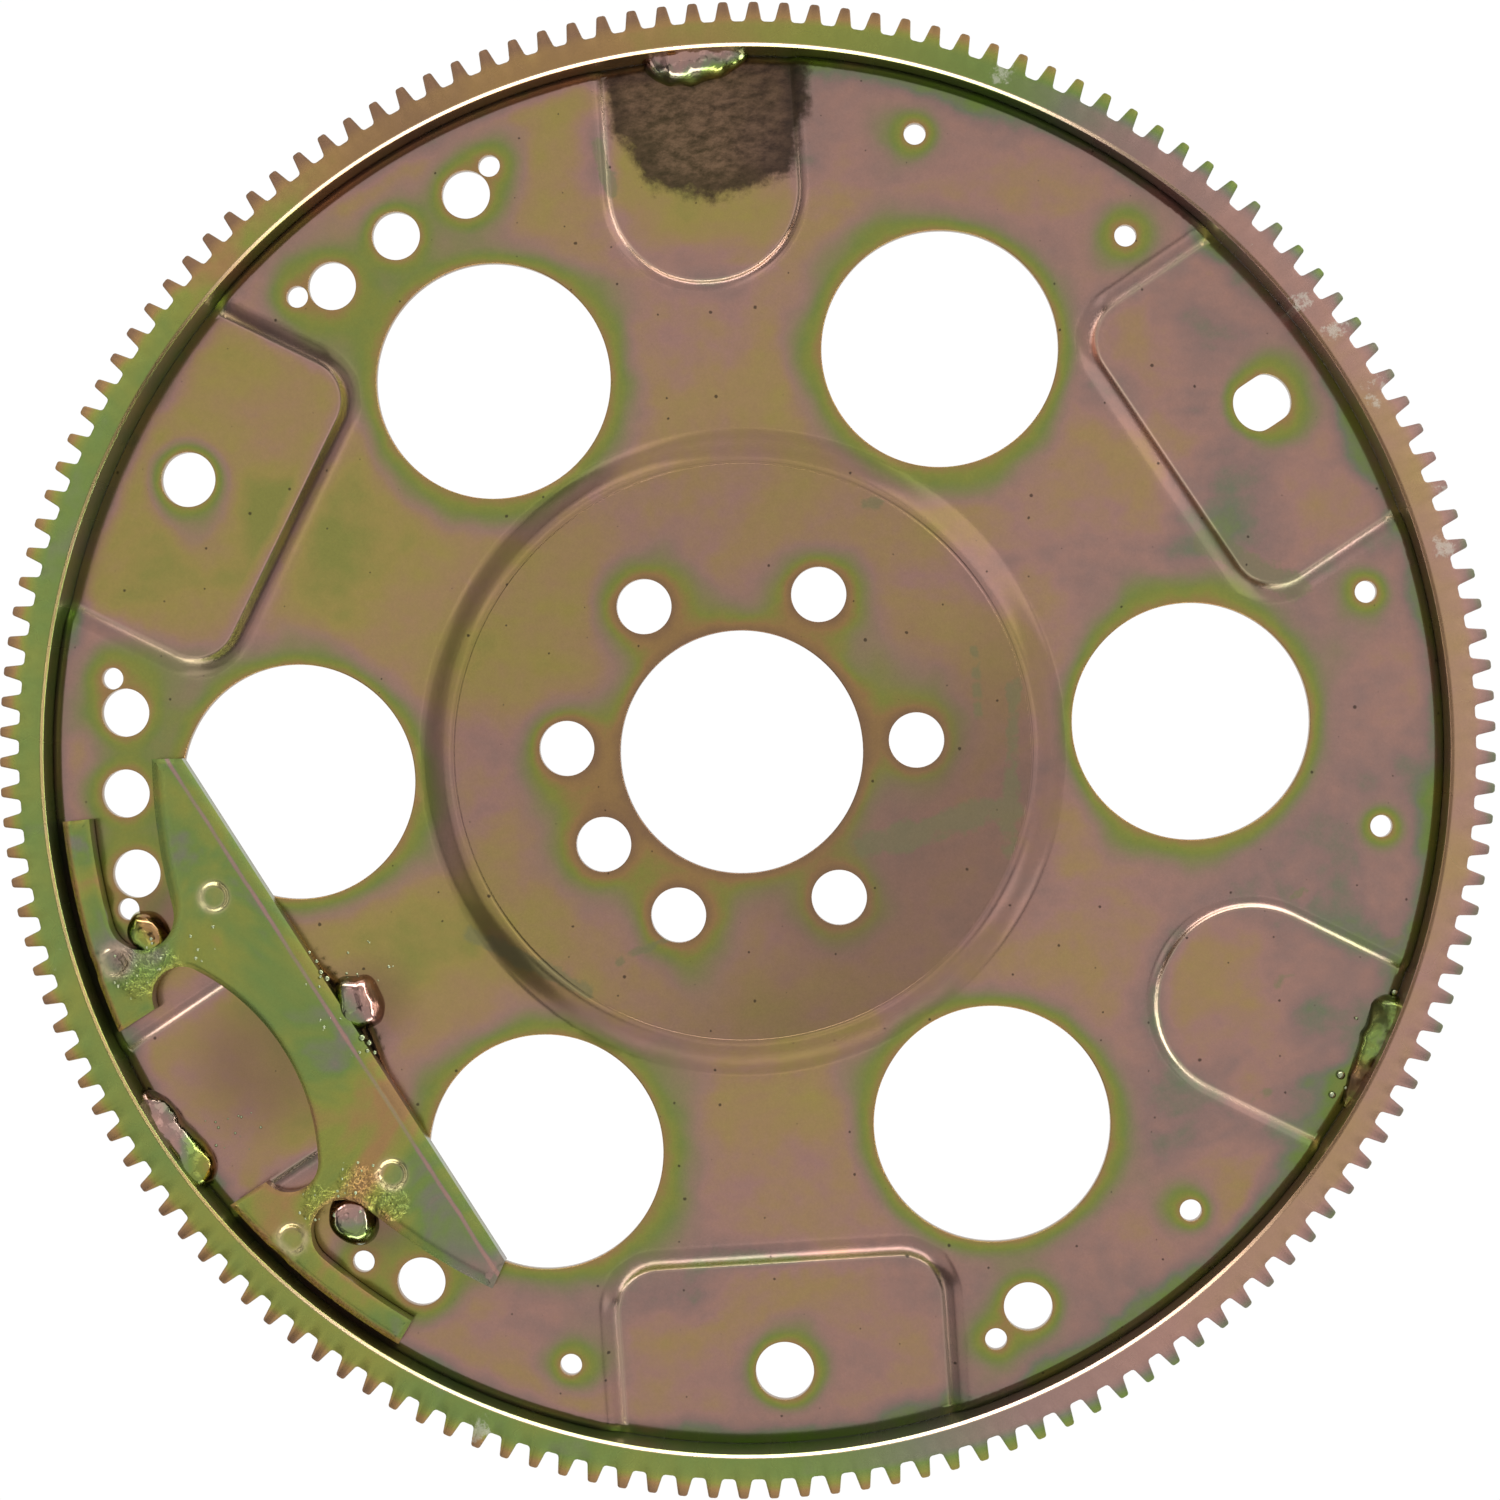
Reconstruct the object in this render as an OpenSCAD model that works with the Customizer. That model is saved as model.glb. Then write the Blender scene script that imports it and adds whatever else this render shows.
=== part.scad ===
// Flexplate: a pressed steel disc with a starter ring gear and a welded balance weight.
// The axis is Z, the weight faces +Z, and the part rests on its three converter pads at Z = 0.

/* [Ring gear] */
// Number of teeth
tooth_count = 153; // [100:1:180]
// Angle of the first tooth
tooth_turn = 0.44; // [0:0.02:2.4]
// Radius over the tooth tips
tip_r = 161.925; // [160:0.005:168]
// Height of a tooth
tooth_h = 4.2; // [3:0.1:5]
// Width of a tooth at its tip
tooth_tip_w = 1.9; // [1.4:0.1:2.4]
// Width of a tooth at its root
tooth_root_w = 3.7; // [2.8:0.1:4.2]
// Size of the eased corners at tip and root
tooth_ease = 0.45; // [0.2:0.05:0.6]
// Thickness of the ring under its teeth
ring_wall = 5.325; // [4:0.005:7]
// Width of the ring from rear to front
ring_w = 12; // [10:0.1:16]
// Height of the ring's rear face over the backs of the pads
ring_lift = 0.6; // [0.2:0.1:1.5]
// Chamfer on both edges of the bore
ring_chamfer = 0.6; // [0.2:0.1:1]
// Clearance where round faces meet, such as the disc's rim in the bore
rim_fit = 0.05; // [0.02:0.01:0.2]

/* [Disc] */
// Thickness of the sheet
sheet_t = 2.5; // [1.8:0.1:3.2]
// Outside radius of the rolled rim
rim_roll = 2.2; // [1.5:0.1:2.4]
// Radius of the raised hub's flat face
hub_r = 63; // [55:0.5:66]
// Radial run of the slope from hub to web
hub_run = 7.5; // [4:0.5:9]
// Height of the hub's face over the web
hub_rise = 3.4; // [1:0.1:5]

/* [Crank mounting] */
// Radius of the centre bore
crank_bore_r = 26.4; // [20:0.1:29]
// Diameter of the crank bolt circle
crank_pcd = 76.2; // [72:0.1:90]
// Diameter of a crank bolt hole
crank_hole_d = 12; // [8:0.1:13]
// Angle by which the two holes beside the dowel hole are spread
crank_spread = 5; // [3:0.5:8]
// Radius at which the dowel hole lies
dowel_r = 36.2; // [34:0.1:45]
// Diameter of the dowel hole
dowel_d = 12; // [6:0.1:13]

/* [Converter pads] */
// Depth of a pad below the web
pad_depth = 3.1; // [1.6:0.1:4]
// Width of a pad
pad_w = 71; // [60:1:74]
// Length of a pad, from the ring to its inner edge
pad_l = 39.6; // [34:0.1:44]
// Radius of a pad's inner corners
pad_corner = 9; // [5:0.5:14]
// Run of the slope around a pad
pad_run = 4; // [2:0.5:5]
// Distance of the converter holes from the ring
converter_inset = 15.875; // [13:0.005:18]
// Diameter of the converter hole at 270 degrees
converter_low_d = 12.8; // [8:0.1:15]
// Diameter of the converter hole at 150 degrees
converter_left_d = 12.1; // [8:0.1:15]
// Width across the flats of the converter hole at 30 degrees
converter_flats = 10.9; // [8:0.1:12]
// Length of the converter hole at 30 degrees
converter_slot_l = 12.8; // [12.2:0.1:16]

/* [Weld reliefs] */
// Depth of a relief below the web
relief_depth = 1.8; // [1:0.1:2.4]
// Width of a relief
relief_w = 41; // [34:1:46]
// Length of a relief, from the ring to its inner end
relief_l = 48.8; // [42:0.1:52]
// Radius of a relief's inner corners
relief_corner = 20; // [12:0.5:20.4]
// Run of the slope around a relief
relief_run = 3; // [2:0.5:4]

/* [Web holes] */
// Diameter of a lightening hole
lighten_d = 51.5; // [40:0.5:54]
// Distance of the lightening holes' middles from the ring
lighten_inset = 54.6; // [52:0.1:57]
// Diameter of a small hole
small_d = 4.8; // [3:0.1:6]
// Distance of the small holes from the ring
small_inset = 12.7; // [10:0.1:14]
// Angle from a lightening hole's line to its small holes
small_spread = 10.5; // [10:0.1:11]
// Diameter of a balancing hole
balance_d = 10.6; // [6:0.1:11.5]
// Distance of the balancing holes from the ring
balance_inset = 16.2; // [14:0.1:18]
// Angle between neighbouring balancing holes
balance_step = 7.5; // [6.5:0.1:8]
// Angle of the single balancing hole at lower left
balance_left = 234.9; // [234:0.1:236]
// Angle of the single balancing hole at lower right
balance_right = 293.4; // [292:0.1:295]

/* [Balance weight] */
// Thickness of the weight
weight_t = 5.5; // [4:0.1:6.5]
// Angle of the weight's middle line
weight_angle = 209; // [208:0.1:210.5]
// Gap between the weight and the ring
weight_gap = 3; // [2:0.1:5]
// Depth of the weight, from its outer edge to its straight inner edge
weight_depth = 45.8; // [43:0.1:48]
// Half angle of the broad arms
broad_arm_angle = 32.2; // [30:0.1:33]
// Width of the thin arms
thin_arm_w = 5.9; // [4:0.1:7]
// Width of the gap between a thin and a broad arm
arm_gap_w = 14.5; // [12:0.1:16]
// Half angle of the thin arms
thin_arm_angle = 27; // [24:0.1:30]
// Angle at which the gap between the arms ends
arm_gap_angle = 17.5; // [17:0.1:19]
// Depth of the window, from the weight's outer edge
window_depth = 30.1; // [27:0.1:33]
// Radius of the window's inner edge
window_r = 48.4; // [40:0.1:60]
// Width of the window where it opens to the rim
window_w = 45; // [38:0.5:46]
// Radius of the window's round ears
ear_r = 6.6; // [5:0.1:7]
// Distance of the ears from the weight's outer edge
ear_inset = 17.6; // [16:0.1:19]
// Distance of the dimples from the weight's middle line
dimple_v = 36; // [34:0.1:38]
// Distance of the inner dimples from the straight inner edge
dimple_inner_in = 10.4; // [7:0.1:13]
// Distance of the outer dimples from the weight's outer edge
dimple_outer_in = 9.2; // [8:0.1:10.4]
// Radius of a dimple
dimple_r = 3.2; // [2:0.1:3.6]
// Depth of a dimple
dimple_depth = 0.9; // [0.4:0.1:1.5]

/* [Welds] */
// Half length of a bead between ring and disc
bead_half_l = 12.3; // [8:0.1:15]
// Height and width of a bead between ring and disc
bead_leg = 5.5; // [3:0.1:6]
// Radius to which a bead tapers at its ends
bead_end = 0.8; // [0.4:0.1:1.5]
// Radius of the weld on the weight's straight edge
inner_weld_r = 5; // [3:0.1:5]
// Distance of that weld's middle from the straight edge
inner_weld_out = 2.6; // [0:0.1:4]
// Room left in a gap between the arms beside its weld
gap_weld_room = 2.35; // [1.8:0.05:3.5]
// Height of the weight welds' middles over the web
weld_lift = 0.4; // [0.2:0.1:1]

/* [Hidden] */
$fn = 120;
// finer rounding where a small bead is cut to the large rim
rim_fn = 720;
plate_colour = [0.60, 0.53, 0.33];
ring_colour = [0.52, 0.52, 0.30];
weight_colour = [0.56, 0.56, 0.35];
weld_colour = [0.70, 0.66, 0.60];
// overlap of cutting tools past the surfaces that they cut
over = 1;
// heights of the surfaces over the backs of the pads
web_under_z = pad_depth;
web_z = web_under_z + sheet_t;
hub_z = web_z + hub_rise;
relief_z = web_z - relief_depth;
ring_face_z = ring_lift + ring_w;
weight_z = web_z + weight_t;
// radii that follow from the sizes above
root_r = tip_r - tooth_h;
ring_bore_r = root_r - ring_wall;
disc_r = ring_bore_r - rim_fit;
flange_r = disc_r - sheet_t;
pad_inner = ring_bore_r - pad_l;
relief_inner = ring_bore_r - relief_l;
converter_r = ring_bore_r - converter_inset;
lighten_r = ring_bore_r - lighten_inset;
small_r = ring_bore_r - small_inset;
balance_r = ring_bore_r - balance_inset;
// pads and reliefs run out past the rim and are cut off there
pan_end_r = ring_bore_r + ring_wall;
// places on the weight, measured from the axis
weight_r = ring_bore_r - weight_gap;
weight_chord = weight_r - weight_depth;
thin_arm_r = weight_r - thin_arm_w;
broad_arm_r = thin_arm_r - arm_gap_w;
window_inner = weight_r - window_depth;
ear_u = weight_r - ear_inset;
dimple_inner_u = weight_chord + dimple_inner_in;
dimple_outer_u = weight_r - dimple_outer_in;
sector = 60;
pad_angles = [30, 150, 270];
relief_angles = [90, 210, 330];
dowel_angle = 210;
crank_angles = [for (i = [0:5]) i * sector + crank_spread * sign_beside(i * sector - dowel_angle)];
balance_angles = concat(
    [for (middle = [2, 3] * sector, side = [-1:1]) middle + side * balance_step],
    [balance_left, balance_right]);
arm_gap_r = arm_gap_w / 2;
arm_gap_middle_r = broad_arm_r + arm_gap_r;
gap_weld_r = arm_gap_r - gap_weld_room;

// which way a hole beside the dowel hole is spread: -1, 1, or 0 for the others
function sign_beside(angle) = abs(angle) < sector ? sign(angle) : 0;

// a point at a radius and angle
function polar(r, a) = [r * cos(a), r * sin(a)];

// how far the underside of a bend is set off so that the sheet keeps its thickness
function bend_offset(rise, run) = sheet_t * tan(atan2(rise, run) / 2);

// half width of a tooth at a radius
function tooth_half(r) = (tooth_root_w + (tooth_tip_w - tooth_root_w) * (r - root_r) / tooth_h) / 2;

// one side of a tooth, from root to tip, as pairs of radius and half width
function tooth_side() = [
    [root_r, tooth_half(root_r) + tooth_ease],
    [root_r + tooth_ease, tooth_half(root_r + tooth_ease)],
    [tip_r - tooth_ease, tooth_half(tip_r - tooth_ease)],
    [tip_r, tooth_half(tip_r) - tooth_ease]];

// the eight corners of the tooth at an angle
function tooth_points(a) = let (side = tooth_side(), turn = 180 / PI) concat(
    [for (i = [0:3]) polar(side[i][0], a - turn * side[i][1] / side[i][0])],
    [for (i = [3:-1:0]) polar(side[i][0], a + turn * side[i][1] / side[i][0])]);

// outline of a pad or relief, with the rim end on the Y axis and the round end towards -X
function pan_points(w, l, corner) = let (steps = 8, x = corner - l, y = w / 2 - corner) concat(
    [[0, -w / 2]],
    [for (i = [0:steps]) [x, -y] + polar(corner, 270 - 90 * i / steps)],
    [for (i = [0:steps]) [x, y] + polar(corner, 180 - 90 * i / steps)],
    [[0, w / 2]]);

// a pad's or relief's body with sloped walls, widening upwards from its floor
module pan(angle, floor_z, w, inner, corner, run, depth, grow) {
    l = pan_end_r - inner + grow;
    wide = w + 2 * grow;
    tall = depth + over;
    spread = run * tall / depth;
    rotate([0, 0, angle])
        translate([pan_end_r, 0, floor_z])
            linear_extrude(height = tall, slices = 1, segments = 1,
                scale = [(l + spread) / l, (wide + 2 * spread) / wide])
                polygon(pan_points(wide, l, corner + grow));
}

module pads(floor_z, grow) {
    for (a = pad_angles) pan(a, floor_z, pad_w, pad_inner, pad_corner, pad_run, pad_depth, grow);
}

module reliefs(floor_z, grow) {
    for (a = relief_angles)
        pan(a, floor_z, relief_w, relief_inner, relief_corner, relief_run, relief_depth, grow);
}

// what is cut off the rim of a pad or relief to give it a slope in place of the rim's roll
module rim_cut(angle, floor_z, w) {
    half = asin((w - rim_roll) / 2 / disc_r);
    rotate([0, 0, angle - half])
        rotate_extrude(angle = 2 * half)
            polygon([[disc_r - rim_roll - over, floor_z + over], [disc_r + over, floor_z + over],
                [disc_r + over, floor_z - rim_roll - over]]);
}

// everything below the disc's front surface, before the pads and reliefs are pressed in
module front_body() {
    rotate_extrude() {
        square([disc_r - rim_roll, web_z]);
        square([disc_r, web_z - rim_roll]);
        translate([disc_r - rim_roll, web_z - rim_roll]) circle(rim_roll);
        polygon([[0, 0], [hub_r + hub_run, 0], [hub_r + hub_run, web_z], [hub_r, hub_z], [0, hub_z]]);
    }
}

// everything below the disc's rear surface, before the pads and reliefs are pressed in
module rear_body() {
    set_off = bend_offset(hub_rise, hub_run);
    foot_r = hub_r + hub_run - set_off;
    rotate_extrude() {
        translate([0, -over]) square([pan_end_r, over + ring_lift]);
        translate([0, -over]) square([flange_r, over + web_under_z]);
        polygon([[0, 0], [foot_r, 0], [foot_r, web_under_z], [hub_r - set_off, hub_z - sheet_t],
            [0, hub_z - sheet_t]]);
    }
}

module hole(r, angle, d) {
    rotate([0, 0, angle])
        translate([r, 0, -over])
            cylinder(d = d, h = hub_z + 2 * over);
}

// the converter hole with two flats, its long way pointing to the axis
module flat_sided_hole() {
    rotate([0, 0, pad_angles[0]])
        translate([converter_r, 0, -over])
            intersection() {
                cylinder(d = converter_slot_l, h = hub_z);
                translate([-converter_slot_l, -converter_flats / 2, 0])
                    cube([2 * converter_slot_l, converter_flats, hub_z]);
            }
}

module disc_holes() {
    hole(0, 0, 2 * crank_bore_r);
    hole(dowel_r, dowel_angle, dowel_d);
    for (a = crank_angles) hole(crank_pcd / 2, a, crank_hole_d);
    for (i = [0:5]) {
        hole(lighten_r, i * sector, lighten_d);
        for (side = [-1, 1]) hole(small_r, i * sector + side * small_spread, small_d);
    }
    for (a = balance_angles) hole(balance_r, a, balance_d);
    hole(converter_r, pad_angles[1], converter_left_d);
    hole(converter_r, pad_angles[2], converter_low_d);
    flat_sided_hole();
}

module flexplate_disc() {
    color(plate_colour)
        difference() {
            front_body();
            pads(sheet_t, 0);
            reliefs(relief_z, 0);
            for (a = pad_angles) rim_cut(a, sheet_t, pad_w);
            for (a = relief_angles) rim_cut(a, relief_z, relief_w);
            difference() {
                rear_body();
                pads(0, bend_offset(pad_depth, pad_run));
                reliefs(relief_z - sheet_t, bend_offset(relief_depth, relief_run));
            }
            disc_holes();
        }
}

module ring_gear() {
    pitch = 360 / tooth_count;
    color(ring_colour)
        difference() {
            translate([0, 0, ring_lift])
                linear_extrude(height = ring_w)
                    polygon([for (i = [0:tooth_count - 1]) each tooth_points(i * pitch + tooth_turn)]);
            rotate_extrude()
                polygon([[0, ring_lift - over], [ring_bore_r + ring_chamfer + over, ring_lift - over],
                    [ring_bore_r, ring_lift + ring_chamfer], [ring_bore_r, ring_face_z - ring_chamfer],
                    [ring_bore_r + ring_chamfer + over, ring_face_z + over], [0, ring_face_z + over]]);
        }
}

// a wedge from the axis between two angles, wide enough to reach past the weight
module wedge(from, to) {
    reach = 2 * weight_r;
    polygon([[0, 0], polar(reach, from), polar(reach, to)]);
}

// the gap between the broad and the thin arm on one side
module arm_gap(side) {
    mirror([0, side < 0 ? 1 : 0]) {
        difference() {
            intersection() {
                circle(thin_arm_r);
                wedge(arm_gap_angle, broad_arm_angle + sector);
            }
            circle(broad_arm_r);
        }
        translate(polar(arm_gap_middle_r, arm_gap_angle)) circle(arm_gap_r);
        difference() {
            wedge(thin_arm_angle, broad_arm_angle + sector);
            circle(broad_arm_r);
        }
    }
}

// the window that opens to the rim
module window() {
    intersection() {
        translate([window_inner + window_r, 0]) circle(window_r);
        translate([window_inner, -window_w / 2]) square([weight_r, window_w]);
    }
    for (side = [-1, 1])
        translate([ear_u, side * (window_w / 2 - over)]) circle(ear_r);
}

module weight_outline() {
    difference() {
        intersection() {
            circle(weight_r);
            wedge(-broad_arm_angle, broad_arm_angle);
            translate([weight_chord, -weight_r]) square([weight_r, 2 * weight_r]);
        }
        arm_gap(1);
        arm_gap(-1);
        window();
    }
}

module dimple(u, v) {
    ball_r = (pow(dimple_r, 2) + pow(dimple_depth, 2)) / (2 * dimple_depth);
    translate([u, v, weight_z - dimple_depth + ball_r]) sphere(ball_r);
}

// the weight without its colour, so that its welds can be cut to it
module weight_body() {
    rotate([0, 0, weight_angle])
        difference() {
            translate([0, 0, web_z]) linear_extrude(height = weight_t) weight_outline();
            for (side = [-1, 1], u = [dimple_inner_u, dimple_outer_u]) dimple(u, side * dimple_v);
        }
}

module balance_weight() {
    color(weight_colour) weight_body();
}

// the bead in the corner between the ring's bore and a relief's floor: a quarter of a spindle
module ring_weld(angle) {
    swell = bead_leg - bead_end;
    arc_r = (pow(bead_half_l, 2) + pow(swell, 2)) / (2 * swell);
    color(weld_colour)
        rotate([0, 0, angle])
            intersection() {
                translate([ring_bore_r, 0, relief_z])
                    rotate([90, 0, 0])
                        rotate([0, 0, 90])
                            rotate_extrude(angle = 90)
                                intersection() {
                                    translate([bead_leg - arc_r, 0]) circle(arc_r);
                                    translate([0, -bead_half_l]) square([bead_leg, 2 * bead_half_l]);
                                }
                cylinder(r = ring_bore_r, h = ring_face_z, $fn = rim_fn);
            }
}

module ring_weld_top() {
    ring_weld(relief_angles[0]);
}

module ring_weld_left() {
    ring_weld(relief_angles[1]);
}

module ring_weld_right() {
    ring_weld(relief_angles[2]);
}

// a ball of weld that stands on the web
module weld_ball(u, v, r) {
    difference() {
        rotate([0, 0, weight_angle])
            translate([u, v, web_z + weld_lift])
                rotate([0, 90, 0])
                    sphere(r);
        translate([0, 0, web_z - 2 * r]) cylinder(r = weight_r, h = 2 * r);
    }
}

// a weld that lies against the round end of the gap between the arms
module gap_weld(side) {
    gap_end = polar(arm_gap_middle_r, arm_gap_angle);
    reach = gap_weld_room - rim_fit;
    color(weld_colour) weld_ball(gap_end[0], side * (gap_end[1] - reach), gap_weld_r);
}

module weight_weld_inner() {
    color(weld_colour)
        difference() {
            weld_ball(weight_chord - inner_weld_out, 0, inner_weld_r);
            weight_body();
        }
}

module weight_weld_upper() {
    gap_weld(-1);
}

module weight_weld_lower() {
    gap_weld(1);
}

flexplate_disc();
ring_gear();
balance_weight();
ring_weld_top();
ring_weld_left();
ring_weld_right();
weight_weld_inner();
weight_weld_upper();
weight_weld_lower();
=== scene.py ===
# Looks of a plated steel flexplate: pressed disc, starter ring, balance weight and welds
from math import asin, atan2, cos, degrees, exp, hypot, pi, radians, sin, sqrt, tan

import bmesh
import bpy
import numpy as np
from mathutils import Matrix, Vector, kdtree, noise
from mathutils.geometry import delaunay_2d_cdt


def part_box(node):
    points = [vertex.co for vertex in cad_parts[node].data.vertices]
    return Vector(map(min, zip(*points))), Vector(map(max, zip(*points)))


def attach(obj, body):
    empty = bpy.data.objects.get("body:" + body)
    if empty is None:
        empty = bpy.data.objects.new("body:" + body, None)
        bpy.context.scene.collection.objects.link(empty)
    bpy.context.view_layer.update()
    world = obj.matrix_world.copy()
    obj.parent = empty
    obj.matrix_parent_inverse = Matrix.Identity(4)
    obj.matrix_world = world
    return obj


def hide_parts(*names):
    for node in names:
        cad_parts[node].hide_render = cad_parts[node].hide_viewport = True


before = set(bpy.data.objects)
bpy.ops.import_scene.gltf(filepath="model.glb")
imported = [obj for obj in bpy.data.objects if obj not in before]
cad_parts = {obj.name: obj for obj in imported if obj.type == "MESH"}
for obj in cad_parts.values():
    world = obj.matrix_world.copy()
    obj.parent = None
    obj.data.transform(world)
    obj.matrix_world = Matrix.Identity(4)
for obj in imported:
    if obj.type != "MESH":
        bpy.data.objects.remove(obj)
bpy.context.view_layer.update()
print("frame:", len(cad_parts), "nodes")

mm = 0.001  # sizes below are in millimetres, Blender's own are in metres


def span(node, axis):  # lowest and highest place of a CAD node along an axis
    low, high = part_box(node)
    return low[axis] / mm, high[axis] / mm


discR = span("flexplate_disc", 0)[1]
padUnder, hubTop = span("flexplate_disc", 2)
ringRear, ringFace = span("ring_gear", 2)
tipR = span("ring_gear", 1)[1]
webTop, weightTop = span("balance_weight", 2)
boreR = discR + 0.05  # the ring's bore
sector = 60
pans = [("pad", a) for a in (30, 150, 270)] + [("relief", a) for a in (90, 210, 330)]  # kind, angle
weightAngle = 209


# Flat outlines

def polar(r, angle):
    a = np.radians(angle)
    return np.stack([r * np.cos(a), r * np.sin(a)], axis=-1)


def turned(points, angle):
    c, s = cos(radians(angle)), sin(radians(angle))
    return np.asarray(points, float) @ np.array([[c, s], [-s, c]])


def onWeight(points):  # from the weight's own axes, the first of which runs out through its middle
    return turned(points, weightAngle)


def circleLoop(centre, r, step):  # of 28 sides or more
    count = max(28, round(2 * pi * r / step))
    return np.asarray(centre, float) + polar(r, np.arange(count) * 360 / count)


def ringGuide(centre, r, step):  # a circle that ends where it starts
    loop = circleLoop(centre, r, step)
    return np.vstack([loop, loop[:1]])


def arc(centre, r, start, end, step=1.2):
    count = max(3, round(abs(radians(end - start)) * r / step) + 1)
    return np.asarray(centre, float) + polar(r, np.linspace(start, end, count))


def line(start, end, step=1.6):
    start, end = np.asarray(start, float), np.asarray(end, float)
    count = max(2, round(np.linalg.norm(end - start) / step) + 1)
    return start + (end - start) * np.linspace(0, 1, count)[:, None]


def joined(*stretches):  # one loop without doubled points
    points = np.concatenate(stretches)
    apart = np.linalg.norm(points - np.roll(points, 1, axis=0), axis=1) > 0.02
    return points[apart]


def offsetLoop(loop, distance):  # outwards on a loop that runs anticlockwise
    ahead = np.roll(loop, -1, axis=0) - loop
    ahead /= np.linalg.norm(ahead, axis=1, keepdims=True)
    normal = np.stack([ahead[:, 1], -ahead[:, 0]], axis=1)
    before = np.roll(normal, 1, axis=0)
    mitre = (normal + before) / (1 + (normal * before).sum(axis=1, keepdims=True))
    return loop + np.reshape(distance, (-1, 1)) * mitre


def inLoop(points, loop):
    points = np.asarray(points, float)
    result = np.zeros(len(points), bool)
    near = np.all((points >= loop.min(0)) & (points <= loop.max(0)), axis=1)
    x, y = points[near, :1], points[near, 1:]
    end = np.roll(loop, -1, axis=0)
    rise = np.where(end[:, 1] == loop[:, 1], 1e-12, end[:, 1] - loop[:, 1])
    crossing = (loop[:, 1] > y) != (end[:, 1] > y)
    meets = loop[:, 0] + (y - loop[:, 1]) * (end[:, 0] - loop[:, 0]) / rise
    result[near] = (crossing & (x < meets)).sum(axis=1) % 2
    return result


# Sheets of any outline, with rounded edges at the outline and at each hole

def inSheet(points, loops):  # inside the outline and outside each hole
    inside = inLoop(points, loops[0])
    for loop in loops[1:]:
        inside &= ~inLoop(points, loop)
    return inside


def clearRuns(guide, loops):  # the stretches of a guide that stay off the edges
    clear = inSheet(guide, [offsetLoop(loops[0], -1)] + [offsetLoop(loop, 1) for loop in loops[1:]])
    breaks = np.flatnonzero(np.diff(clear.astype(int))) + 1
    runs = zip(np.split(guide, breaks), np.split(clear, breaks))
    return [run for run, ok in runs if ok[0] and len(run) > 1]


def triangulate(loops, guides, spacing):
    lines = [(loop, True) for loop in loops]
    lines += [(run, False) for guide in guides for run in clearRuns(guide, loops)]
    fixed = np.concatenate([points for points, closed in lines])
    edges, first = [], 0
    for points, closed in lines:
        n = len(points)
        edges += [(first + i, first + (i + 1) % n) for i in range(n if closed else n - 1)]
        first += n
    near = kdtree.KDTree(len(fixed))
    for i, (x, y) in enumerate(fixed):
        near.insert((x, y, 0), i)
    near.balance()
    low, high = fixed.min(0), fixed.max(0)
    rows = np.arange(low[1], high[1], spacing * 0.866)  # for even triangles
    grid = np.array([(x + row % 2 * spacing / 2, y) for row, y in enumerate(rows)
                     for x in np.arange(low[0], high[0], spacing)])
    grid = grid[inSheet(grid, loops)]
    grid = grid[[near.find((x, y, 0))[2] > 0.65 * spacing for x, y in grid]]
    flat, _, faces, origins, _, _ = delaunay_2d_cdt(
        [Vector(p) for p in np.concatenate([fixed, grid]).tolist()], edges, [], 0, 1e-5)
    flat = np.array([p[:] for p in flat])
    faces = np.array(faces)
    placed = {source: i for i, sources in enumerate(origins) for source in sources}
    faces = faces[inSheet(flat[faces].mean(axis=1), loops)]
    a, b, c = (flat[faces[:, i]] for i in range(3))
    back = np.cross(b - a, c - a) < 0
    faces[back] = faces[back][:, ::-1]
    ids, first = [], 0
    for loop in loops:
        ids.append(np.array([placed[first + i] for i in range(len(loop))]))
        first += len(loop)
    return flat, faces, ids


def sheetMesh(edgedLoops, guides, spacing, top, under, droop=0):
    # each loop comes with the width of its upper edge and of its lower edge; droop is the slope at which
    # a drooping upper edge ends, and without it the upper edge is round
    sides = [-1] + [1] * (len(edgedLoops) - 1)
    insets = [offsetLoop(loop, side * upper) for side, (loop, upper, lower) in zip(sides, edgedLoops)]
    flat, faces, ids = triangulate(insets, guides, spacing)
    topZ, underZ = top(flat), under(flat)
    n = len(flat)
    plan, heights = [flat, flat], [topZ, underZ]
    quads, total = [], 2 * n
    for side, (loop, upper, lower), inset, own in zip(sides, edgedLoops, insets, ids):
        lowInset = offsetLoop(loop, side * lower)
        if droop:
            falls = [(s, -droop * s * s / 2) for s in (0.35, 0.7, 1.0)]
        else:
            falls = [(sin(a), cos(a) - 1) for a in np.radians([30, 60, 90])]
        rises = [(sin(a), 1 - cos(a)) for a in np.radians([90, 60, 30, 0])]
        steps = [(inset, topZ[own], upper * fall, s) for s, fall in falls]
        steps += [(lowInset, underZ[own], lower * rise, s) for s, rise in rises]
        rows = [own]
        for start, level, change, s in steps:
            plan.append(start + (loop - start) * s)
            heights.append(level + change)
            rows.append(total + np.arange(len(loop)))
            total += len(loop)
        rows.append(own + n)
        for above, beneath in zip(rows, rows[1:]):
            corners = [above, beneath, np.roll(beneath, -1), np.roll(above, -1)]
            quads.append(np.stack(corners if side < 0 else corners[:1] + corners[:0:-1], axis=1))
    points = np.column_stack([np.concatenate(plan), np.concatenate(heights)])
    allFaces = faces.tolist() + (faces[:, ::-1] + n).tolist() + np.concatenate(quads).tolist()
    return points, allFaces


def eased(share, blend):  # from 0 to 1 at an even slope, with soft ends
    slope = 1 / (1 - blend)
    start, end = slope * share ** 2 / (2 * blend), 1 - slope * (1 - share) ** 2 / (2 * blend)
    return np.where(share < blend, start, np.where(share > 1 - blend, end, slope * (share - blend / 2)))


def newMesh(name, points, faces):
    mesh = bpy.data.meshes.new(name)
    mesh.from_pydata((np.asarray(points) * mm).tolist(), [], faces)
    return mesh


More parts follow.
